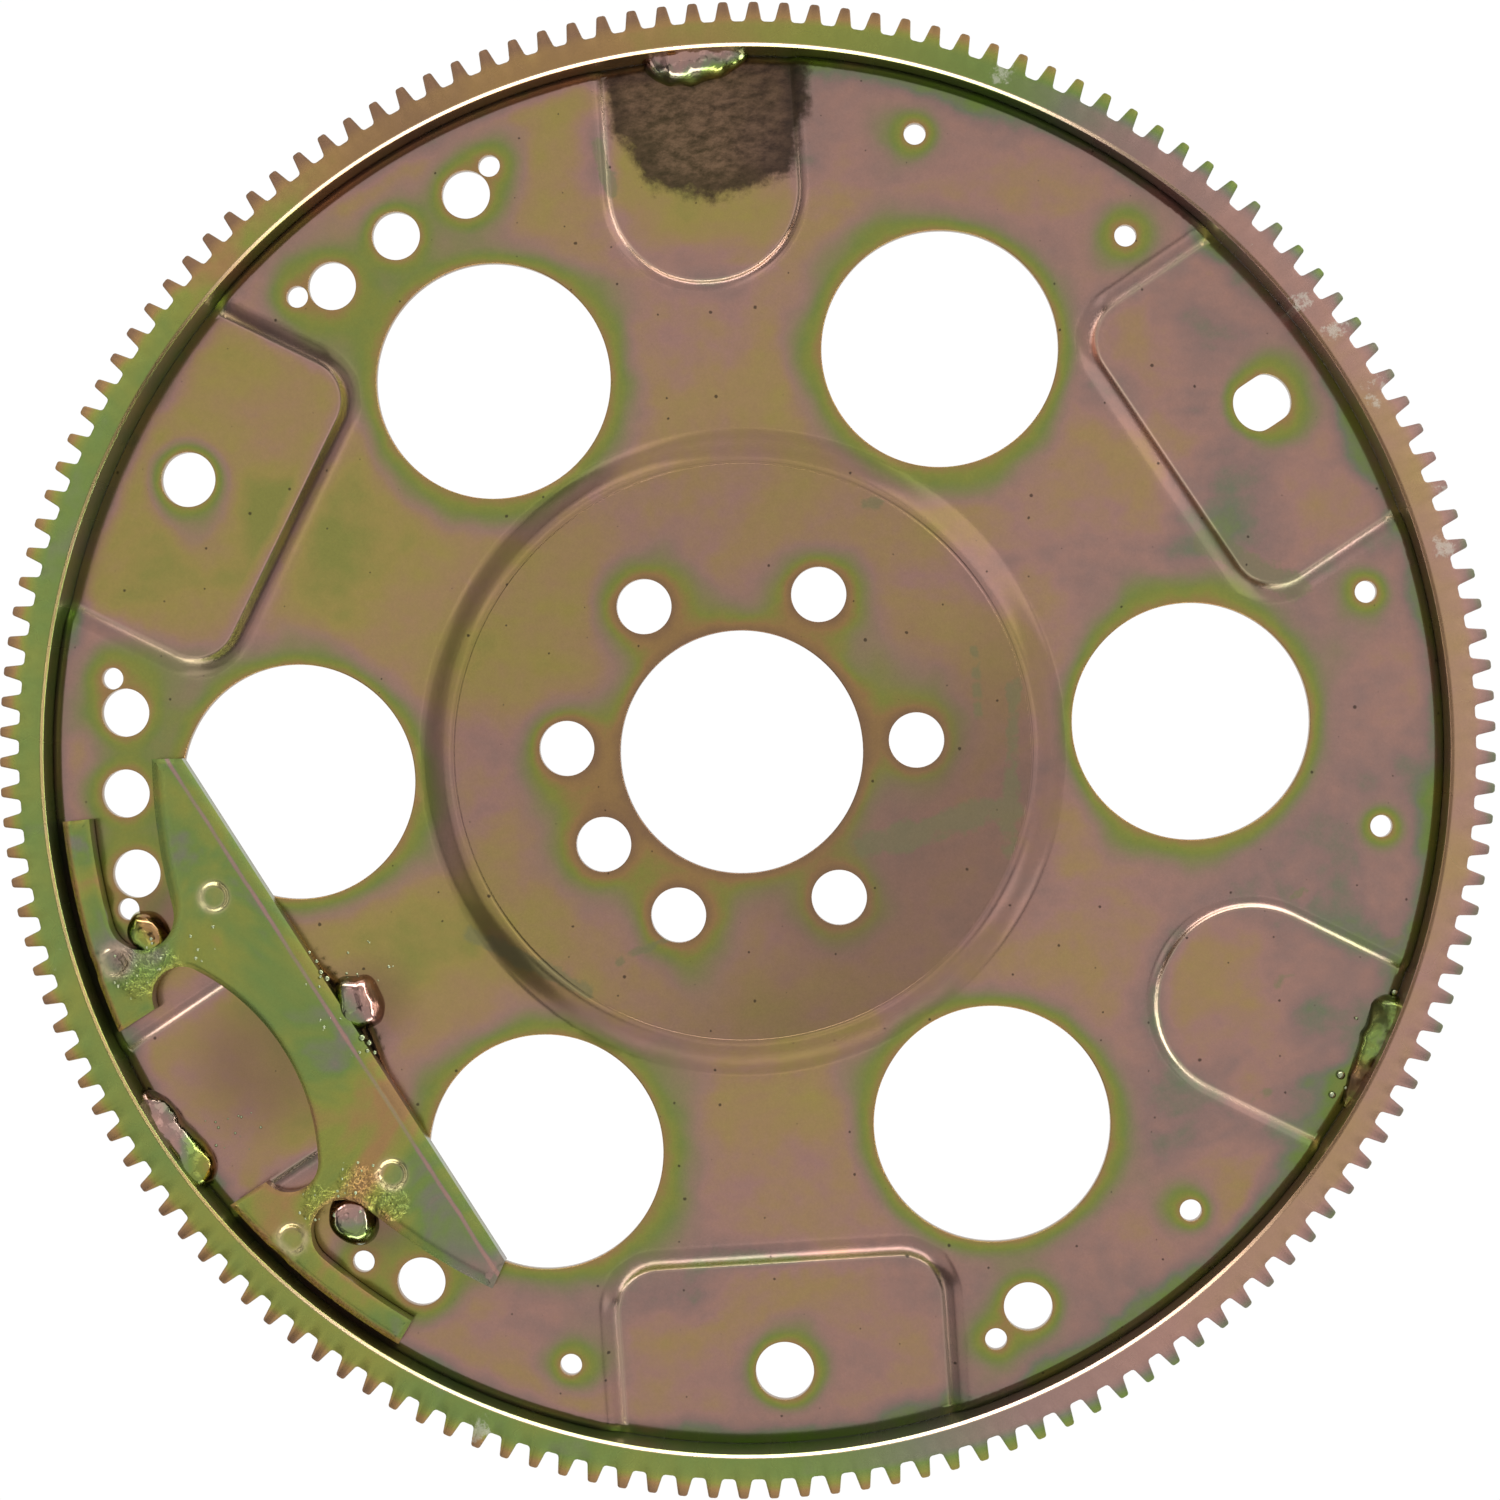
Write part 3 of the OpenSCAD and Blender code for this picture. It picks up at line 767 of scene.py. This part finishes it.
def toothSegment():
    outline = toothOutline()
    n, pitch = len(outline), 360 / ring["teeth"]
    plan = polar(outline[:, 1], outline[:, 0])
    around = np.vstack([turned(plan[:-1], -pitch), plan, turned(plan[1:], pitch)])
    inset = offsetLoop(around, -ring["edge"])[n - 1:2 * n - 1]
    inner = np.linspace(-pitch / 2, pitch / 2, n)
    cut, edge = ring["chamfer"], ring["edge"]
    half = sin(radians(45))

    def corner(face, way):  # the rounded edge between a face and the teeth
        middle = (inset + (plan - inset) * half, face - way * edge * (1 - half))
        return [(inset, face), middle, (plan, face - way * edge)]

    rise = ring["chamferH"]
    rows = [(polar(boreR + cut, inner), ringRear), (polar(boreR, inner), ringRear + rise),
            (polar(boreR, inner), ringFace - rise), (polar(boreR + cut, inner), ringFace)]
    rows += corner(ringFace, 1) + corner(ringRear, -1)[::-1]
    points = np.concatenate([np.column_stack([flat, np.full(n, z)]) for flat, z in rows])
    faces = []
    for k in range(len(rows)):
        upper, lower = k * n, (k + 1) % len(rows) * n
        faces += [(upper + i, lower + i, lower + i + 1, upper + i + 1) for i in range(n - 1)]
    return bpy.data.objects.new("tooth", newMesh("tooth", points, faces))


def newTree(name, inputs):
    tree = bpy.data.node_groups.new(name, "GeometryNodeTree")
    for label, kind in inputs.items():
        tree.interface.new_socket(label, in_out="INPUT", socket_type="NodeSocket" + kind)
    tree.interface.new_socket("Geometry", in_out="OUTPUT", socket_type="NodeSocketGeometry")
    return tree, Wire(tree, None).make("NodeGroupInput")


def grown(name, tree, values):  # a plain mesh object of what a tree makes
    carrier = linked(name, bpy.data.meshes.new(name))
    modifier = carrier.modifiers.new("build", "NODES")
    modifier.node_group = tree
    for item in tree.interface.items_tree:
        if item.in_out == "INPUT":
            modifier[item.identifier] = values[item.name]
    made = carrier.evaluated_get(bpy.context.evaluated_depsgraph_get())
    mesh = bpy.data.meshes.new_from_object(made)
    carrier.modifiers.remove(modifier)
    carrier.data = mesh
    return carrier


def inputOf(given, label):
    return Wire(given.tree, given.socket.node.outputs[label])


def closeTree(given, shape):
    finish = inputOf(given, "Finish")
    done = given.make("GeometryNodeSetMaterial", {"Geometry": shape, "Material": finish})
    given.make("NodeGroupOutput", {"Geometry": done})


def buildRing():
    tooth = toothSegment()
    tree, given = newTree("tooth ring", {
        "Teeth": "Int", "Turn": "Float", "Tooth": "Object", "Finish": "Material"})
    teeth, turn = inputOf(given, "Teeth"), inputOf(given, "Turn")
    points = given.make("GeometryNodePoints", {"Count": teeth})
    index = given.make("GeometryNodeInputIndex")
    rotation = given.make("ShaderNodeCombineXYZ", {"Z": index * (2 * pi) / teeth + turn})
    shape = given.make("GeometryNodeObjectInfo", {"Object": inputOf(given, "Tooth")}, "Geometry")
    copies = given.make("GeometryNodeInstanceOnPoints",
                        {"Points": points, "Instance": shape, "Rotation": rotation})
    real = given.make("GeometryNodeRealizeInstances", {0: copies})
    closeTree(given, given.make("GeometryNodeMergeByDistance", {"Geometry": real, "Distance": 0.02 * mm}))
    piece = grown("starter_ring", tree, {
        "Teeth": ring["teeth"], "Turn": radians(ring["turn"]), "Tooth": tooth, "Finish": gearFinish})
    bpy.data.objects.remove(tooth)
    placePiece(piece, gearFinish, "ring_gear", sharp=30)


buildRing()


# Balance weight

weight = {
    "outerR": 149.4, "chord": weightLook["lipLine"], "broadAngle": 32.2, "broadR": 129.0, "thinR": 143.5,
    "thinAngle": 27.0, "gapAngle": 17.5,
    "windowInner": 119.3, "windowR": 48.4, "windowHalfW": 22.5, "earU": 131.8, "earV": 21.5, "earR": 6.6,
    "edge": 1.6, "outerEdge": 2.3, "broadEdge": 3.4, "chordEdge": 3.6, "droop": 0.62, "underEdge": 0.9,
    "spacing": 1.8,
    "dimples": [(114.0, 36.0), (114.0, -36.0), (140.2, 36.0), (140.2, -36.0)],
    "dimpleR": 3.6, "dimpleDepth": 0.93, "dimpleLip": 0.15,
}


def angleOf(way):
    return degrees(atan2(way[1], way[0]))


def halfWeight():  # from the window's middle round one end to the middle of the straight edge
    w = weight
    middle = np.array([w["windowInner"] + w["windowR"], 0])
    ear = np.array([w["earU"], w["earV"]])
    # where the window's edge runs into its ear
    apart = np.linalg.norm(ear - middle)
    along = (apart ** 2 + w["windowR"] ** 2 - w["earR"] ** 2) / (2 * apart)
    away = sqrt(w["windowR"] ** 2 - along ** 2)
    way = (ear - middle) / apart
    meets = [middle + along * way + side * away * np.array([-way[1], way[0]]) for side in (-1, 1)]
    meet = min(meets, key=lambda p: p[0])
    bow, start = angleOf(meet - middle), angleOf(meet - ear) % 360
    lip = w["earU"] + sqrt(w["earR"] ** 2 - (w["windowHalfW"] - w["earV"]) ** 2)
    stop = angleOf((lip - w["earU"], w["windowHalfW"] - w["earV"]))
    mouth = degrees(asin(w["windowHalfW"] / w["outerR"]))
    gapR = (w["thinR"] - w["broadR"]) / 2
    gap = polar(w["broadR"] + gapR, w["gapAngle"])
    end = polar(w["broadR"], w["broadAngle"])
    foot = np.array([w["chord"], w["chord"] * tan(radians(w["broadAngle"]))])
    return joined(
        arc(middle, w["windowR"], 180, bow), arc(ear, w["earR"], start, stop),
        line((lip, w["windowHalfW"]), polar(w["outerR"], mouth)),
        arc((0, 0), w["outerR"], mouth, w["thinAngle"]),
        line(polar(w["outerR"], w["thinAngle"]), polar(w["thinR"], w["thinAngle"])),
        arc((0, 0), w["thinR"], w["thinAngle"], w["gapAngle"]),
        arc(gap, gapR, w["gapAngle"], w["gapAngle"] - 180),
        arc((0, 0), w["broadR"], w["gapAngle"], w["broadAngle"]),
        line(end, foot), line(foot, (w["chord"], 0)))


def fromDimples(points):  # distances from each dimple, in its radii
    return [np.hypot(*(points - onWeight(centre)).T) / weight["dimpleR"] for centre in weight["dimples"]]


def dimpleTop(points):
    z = np.full(len(points), weightTop)
    for out in fromDimples(points):
        z -= weight["dimpleDepth"] * (1 - eased(np.clip((out - 0.6) / 0.4, 0, 1), 0.25))
        z += weight["dimpleLip"] * np.exp(-((out - 1.15) / 0.17) ** 2)
    return z


def weightEdges(loop):  # how far the upper edge is rounded at each point of the outline
    r = np.hypot(*loop.T)
    edges = np.full(len(loop), weight["edge"])
    edges[np.abs(r - weight["outerR"]) < 0.05] = weight["outerEdge"]
    edges[np.abs(r - weight["broadR"]) < 0.05] = weight["broadEdge"]
    edges[np.abs(turned(loop, -weightAngle)[:, 0] - weight["chord"]) < 0.05] = weight["chordEdge"]
    for _ in range(3):
        edges = (np.roll(edges, 1) + edges + np.roll(edges, -1)) / 3
    return edges


def buildWeight():
    half = halfWeight()
    loop = onWeight(joined(half, half[::-1] * [1, -1]))
    guides = [ringGuide(onWeight(centre), weight["dimpleR"] * share, 0.5) for centre in weight["dimples"]
              for share in (0.5, 0.6, 0.7, 0.8, 0.9, 1.0, 1.15, 1.4)]
    points, faces = sheetMesh([(loop, weightEdges(loop), weight["underEdge"])], guides, weight["spacing"],
                              dimpleTop, lambda flat: np.full(len(flat), webTop), weight["droop"])
    edge = np.clip((weightTop - points[:, 2]) / (weightTop - webTop), 0, 1)
    # 1 on the walls of the dimples, where a painted highlight goes
    dimple = np.zeros(len(points))
    for out in fromDimples(points[:, :2]):
        edge[out < 1.4] = 0
        dimple = np.maximum(dimple, np.exp(-((out - 0.8) / 0.22) ** 2) * (points[:, 2] > webTop + 3))
    marks = {"edge": edge, "dimple": dimple}
    addPiece("weight_plate", points, faces, massFinish, "balance_weight", marks, sharp=50)


buildWeight()


# Welds between the ring and the reliefs

beads = {
    "ring_weld_top": {
        "angle": 90, "halfL": 11.8, "leg": 6.8, "shape": (0.5, 0.8, 1, 1, 0.85), "rough": 0.07, "ripples": 5,
        "seed": 3, "film": (0.56, 0.44, 0.4, 0.36, 0.36), "foot": 0.22, "burnt": -0.06},
    "ring_weld_left": {
        "angle": 210.4, "halfL": 13.0, "leg": 6.6, "shape": (0.6, 0.75, 0.85, 1, 1), "rough": 0.1,
        "ripples": 6, "seed": 8, "film": (0.34, 0.36, 0.42, 0.56, 0.6), "foot": 0.14, "burnt": -0.02},
    "ring_weld_right": {
        "angle": 330.6, "halfL": 13.6, "leg": 6.6, "shape": (0.25, 0.5, 0.65, 0.75, 1.1), "rough": 0.18,
        "ripples": 4, "seed": 14, "film": (0.62, 0.85, 0.6, 0.56, 0.58), "foot": 0.05, "burnt": 0.17},
}
reliefTop = webTop - disc["reliefDepth"]


def rumple(x, y, z, seed):
    return noise.fractal(Vector((x, y, z)) + Vector((seed * 7.3, seed * 3.1, seed)), 1.0, 2.0, 1)


def spread(values, s):  # values at even steps from -1 to 1
    return np.interp(s, np.linspace(-1, 1, len(values)), values)


def tube(rings, around):  # faces between rings of points, each ring after the one before
    starts = range(0, (rings - 1) * around, around)
    pairs = [(first + j, first + (j + 1) % around) for first in starts for j in range(around)]
    return [(a, a + around, b + around, b) for a, b in pairs]


def addWeld(kind, node, weld, points, faces, film):
    marks = {"film": film, "burnt": [weld["burnt"]] * len(film)}
    name = kind + node.split("_")[-1]
    piece = addPiece(name, points, faces, beadFinish, node, marks, sharp=85)
    shell = bmesh.new()
    shell.from_mesh(piece.data)
    bmesh.ops.recalc_face_normals(shell, faces=shell.faces)
    shell.to_mesh(piece.data)
    shell.free()


def buildBead(node, bead):
    along, across = 72, 16
    points, film = [], []
    for i in range(along + 1):
        s = 2 * i / along - 1
        size = bead["leg"] * spread(bead["shape"], s) * max(1 - s ** 4, 0.0) ** 0.5
        shift = s * bead["halfL"]
        wall = polar(1, bead["angle"] + degrees(shift / boreR))
        hue = spread(bead["film"], s)
        for j in range(across + 1):
            turn = radians(90 * j / across)
            ripple = 0.01 * sin(bead["ripples"] * pi * s + 2.4 * sin(2 * turn))
            inner, rise = cos(turn), sin(turn)
            lump = bead["rough"] * rumple(shift * 0.3, 1.1 * inner, 1.1 * rise, bead["seed"])
            reach = max(size * (0.9 + ripple + lump), 0.15)
            points.append((*(wall * (boreR - reach * inner)), reliefTop + reach * rise))
            film.append(hue + bead["foot"] * inner ** 2)
        points.append((*(wall * boreR), reliefTop))
        film.append(hue)
    row = across + 2
    ends = [tuple(range(row)), tuple(range(along * row + row - 1, along * row - 1, -1))]
    addWeld("bead_", node, bead, points, tube(along + 1, row) + ends, film)


for node, bead in beads.items():
    buildBead(node, bead)


# Welds of the weight

blobs = {
    "weight_weld_inner": {
        "at": (100.4, 0.6), "size": (5.4, 6.6, 6.0), "dent": 0.22, "rough": 0.24, "seed": 4,
        "film": (0.36, 0.58), "toward": 0, "burnt": -0.02},
    "weight_weld_upper": {
        "at": (131.4, -37.0), "size": (4.4, 5.6, 6.0), "dent": 0.25, "rough": 0.16, "seed": 11,
        "film": (0.56, 0.8), "toward": 180, "burnt": 0.0},
    "weight_weld_lower": {
        "at": (127.4, 39.6), "size": (5.4, 6.0, 6.6), "dent": 0.15, "rough": 0.14, "seed": 23,
        "film": (0.36, 0.56), "toward": 70, "burnt": -0.06},
}


def buildBlob(node, blob):
    rings, spokes = 20, 64
    centre = onWeight(blob["at"])
    points, film = [], []
    for k in range(1, rings + 1):
        share = k / rings
        for j in range(spokes):
            x, y = polar(1, 360 * j / spokes)
            bulge = 1 + blob["rough"] * rumple(x * 1.1, y * 1.1, 0, blob["seed"])
            place = np.array([x * blob["size"][0], y * blob["size"][1]]) * share * bulge
            lump = blob["rough"] * rumple(x * share * 1.4, y * share * 1.4, 2, blob["seed"])
            dent = blob["dent"] * exp(-(share / 0.42) ** 2)
            dome = (1 - share ** 2.4) ** 0.6 * (1 + lump) - dent
            points.append((*(onWeight(place) + centre), webTop + max(blob["size"][2] * dome, 0)))
            film.append(np.interp(share * (polar(1, blob["toward"]) @ (x, y)), (-0.5, 0.5), blob["film"]))
    points.append((*centre, webTop + blob["size"][2] * (1 - blob["dent"])))
    film.append(sum(blob["film"]) / 2)
    crown = [(len(points) - 1, j, (j + 1) % spokes) for j in range(spokes)]
    base = [tuple(reversed(range((rings - 1) * spokes, rings * spokes)))]
    addWeld("blob_", node, blob, points, crown + tube(rings, spokes) + base, film)


for node, blob in blobs.items():
    buildBlob(node, blob)


# Spatter round the welds, scattered by Geometry Nodes

spatter = {
    "perCm2": 9.0, "drop": 0.4, "smallest": 0.25, "flat": 0.7, "seed": 5,
    # patches of drops: place on the weight's axes, radius, height of the surface
    "patches": [((136, -31.5), 7, weightTop), ((122, -30), 5, weightTop), ((121.5, 34), 6, weightTop),
                ((131, 33), 6, weightTop), ((106, 1), 4, weightTop), ((104.8, -9), 2.5, weightTop),
                ((105, 9), 3, weightTop), ((95, -5), 6, webTop), ((143, 8), 6, reliefTop),
                ((136, 12), 5, reliefTop)],
    # single drops along the weight's straight edge, on its axes: place, size, height
    "weightDrops": [((103.0, -14.5), 0.7, 10.1), ((102.8, -12), 0.9, 9.9), ((103.2, -9.5), 1.1, 10.1),
                    ((102.9, -7.6), 1.3, 9.9), ((103.4, 7.4), 1.5, 10.2), ((102.8, 9.2), 1.3, 9.9),
                    ((103.9, 10.4), 1.0, 10.4), ((102.9, 11.6), 1.0, 9.9)],
    # single drops beside the right bead: place, size, height
    "drops": [((125.2, -79.0), 2.0, 4.4), ((123.1, -83.2), 1.6, 4.4), ((129.4, -66.9), 0.8, 4.4),
              ((138.0, -61.8), 1.4, 4.4), ((126.1, -81.9), 0.8, 4.4)],
}


def buildSpatter():
    points, faces = [], []
    for at, r, z in spatter["patches"]:
        loop = circleLoop(onWeight(np.array(at)), r, 2.0)
        faces.append(tuple(range(len(points), len(points) + len(loop))))
        points += [(x, y, z) for x, y in loop]
    patches = bpy.data.objects.new("patches", newMesh("patches", points, faces))
    tree, given = newTree("weld spatter", {
        "Patches": "Object", "Density": "Float", "Drop": "Float", "Seed": "Int", "Finish": "Material"})
    seed = inputOf(given, "Seed")
    surface = given.make("GeometryNodeObjectInfo", {"Object": inputOf(given, "Patches")}, "Geometry")
    places = given.make("GeometryNodeDistributePointsOnFaces",
                        {"Mesh": surface, "Density": inputOf(given, "Density"), "Seed": seed})
    drop = given.make("GeometryNodeMeshIcoSphere", {"Radius": inputOf(given, "Drop"), "Subdivisions": 2})
    size = given.make("FunctionNodeRandomValue", {2: spatter["smallest"], 3: 1.0, "Seed": seed}, 1,
                      data_type="FLOAT")
    scale = given.make("ShaderNodeCombineXYZ", {"X": size, "Y": size, "Z": size * spatter["flat"]})
    copies = given.make("GeometryNodeInstanceOnPoints",
                        {"Points": places, "Instance": drop, "Scale": scale})
    closeTree(given, given.make("GeometryNodeRealizeInstances", {0: copies}))
    piece = grown("weld_spatter", tree, {
        "Patches": patches, "Density": spatter["perCm2"] * 1e4, "Drop": spatter["drop"] * mm,
        "Seed": spatter["seed"], "Finish": speckFinish})
    bpy.data.objects.remove(patches)
    shell = bmesh.new()
    shell.from_mesh(piece.data)
    for (x, y), size, z in spatter["drops"] + [(onWeight(at), *rest) for at, *rest in spatter["weightDrops"]]:
        at = Matrix.Translation((x * mm, y * mm, z * mm))
        bmesh.ops.create_icosphere(shell, subdivisions=2, radius=size / 2 * mm, matrix=at)
    shell.to_mesh(piece.data)
    shell.free()
    placePiece(piece, speckFinish)


buildSpatter()


# Floor, light and camera

studio = {
    "world": 0.15, "floor": 1.02, "floorHalf": 3000,
    # panels of light: azimuth, elevation, distance in metres, width, height, brightness
    "panels": {
        "overhead": (0, 90, 1.4, 1.96, 1.96, 0.88),
        "topFill": (70, 36, 1.5, 2.4, 1.18, 0.75), "topStrip": (95, 6, 1.5, 2.7, 0.36, 9),
        "bottomFill": (277, 33, 1.5, 2.9, 1.4, 0.75), "bottomStrip": (275, 10, 1.5, 2.2, 0.34, 7),
        "rightFill": (10, 33, 1.5, 2.4, 1.4, 0.72), "rightStrip": (10, 9, 1.5, 2.6, 0.13, 16),
        "leftFill": (180, 46, 1.5, 1.3, 0.62, 0.75), "leftUpper": (126, 46, 1.5, 0.95, 0.62, 0.75),
        "leftLow": (160, 27, 1.5, 2.6, 0.36, 0.42), "leftStrip": (185, 9, 1.5, 2.6, 0.13, 3),
    },
}


def buildFloor():
    half = studio["floorHalf"]
    corners = [(-half, -half, 0), (half, -half, 0), (half, half, 0), (-half, half, 0)]
    mesh = newMesh("floor", corners, [(0, 1, 2, 3)])
    finish, place = newFinish("pale_floor")
    white = place.make("ShaderNodeEmission", {"Color": (1, 1, 1, 1), "Strength": studio["floor"]})
    clear = place.make("ShaderNodeBsdfTransparent")
    back = place.make("ShaderNodeNewGeometry", {}, "Backfacing")
    seen = place.make("ShaderNodeMixShader", {0: back, 1: white, 2: clear})
    place.make("ShaderNodeOutputMaterial", {"Surface": seen})
    mesh.materials.append(finish)
    linked("floor", mesh)


def panel(name, azimuth, elevation, distance, width, height, brightness):
    light = bpy.data.lights.new(name, "AREA")
    light.shape, light.size, light.size_y = "RECTANGLE", width, height
    light.energy = brightness * pi * width * height
    if width == height:
        light.shape = "DISK"
        light.energy *= pi / 4
    lamp = linked(name, light)
    x, y = polar(cos(radians(elevation)), azimuth)
    lamp.location = Vector((x, y, sin(radians(elevation)))) * distance
    lamp.rotation_euler = (-lamp.location).to_track_quat("-Z", "Y").to_euler()
    lamp.visible_camera = False


def buildLight():
    for name, values in studio["panels"].items():
        panel(name, *values)
    world = bpy.data.worlds.new("studio")
    world.use_nodes = True
    glow = world.node_tree.nodes["Background"]
    glow.inputs["Color"].default_value, glow.inputs["Strength"].default_value = (1, 1, 1, 1), studio["world"]
    bpy.context.scene.world = world


view = {"at": (26.61, 4.76, 661.8), "turn": (0.466, -2.156, 3.889), "lens": 72.13, "sensor": 36,
        "clip": (0.01, 50)}


def buildCamera():
    camera = bpy.data.cameras.new("camera")
    camera.lens, camera.sensor_width = view["lens"], view["sensor"]
    camera.clip_start, camera.clip_end = view["clip"]
    eye = linked("camera", camera)
    turn = Vector(view["turn"])
    look = Matrix.Rotation(radians(turn.length), 4, turn.normalized()).transposed()
    eye.matrix_world = Matrix.Translation(Vector(view["at"]) * mm) @ look
    bpy.context.scene.camera = eye


buildFloor()
buildLight()
buildCamera()
bpy.context.scene.view_settings.view_transform = "Standard"
print("stage: floor, lights, camera")
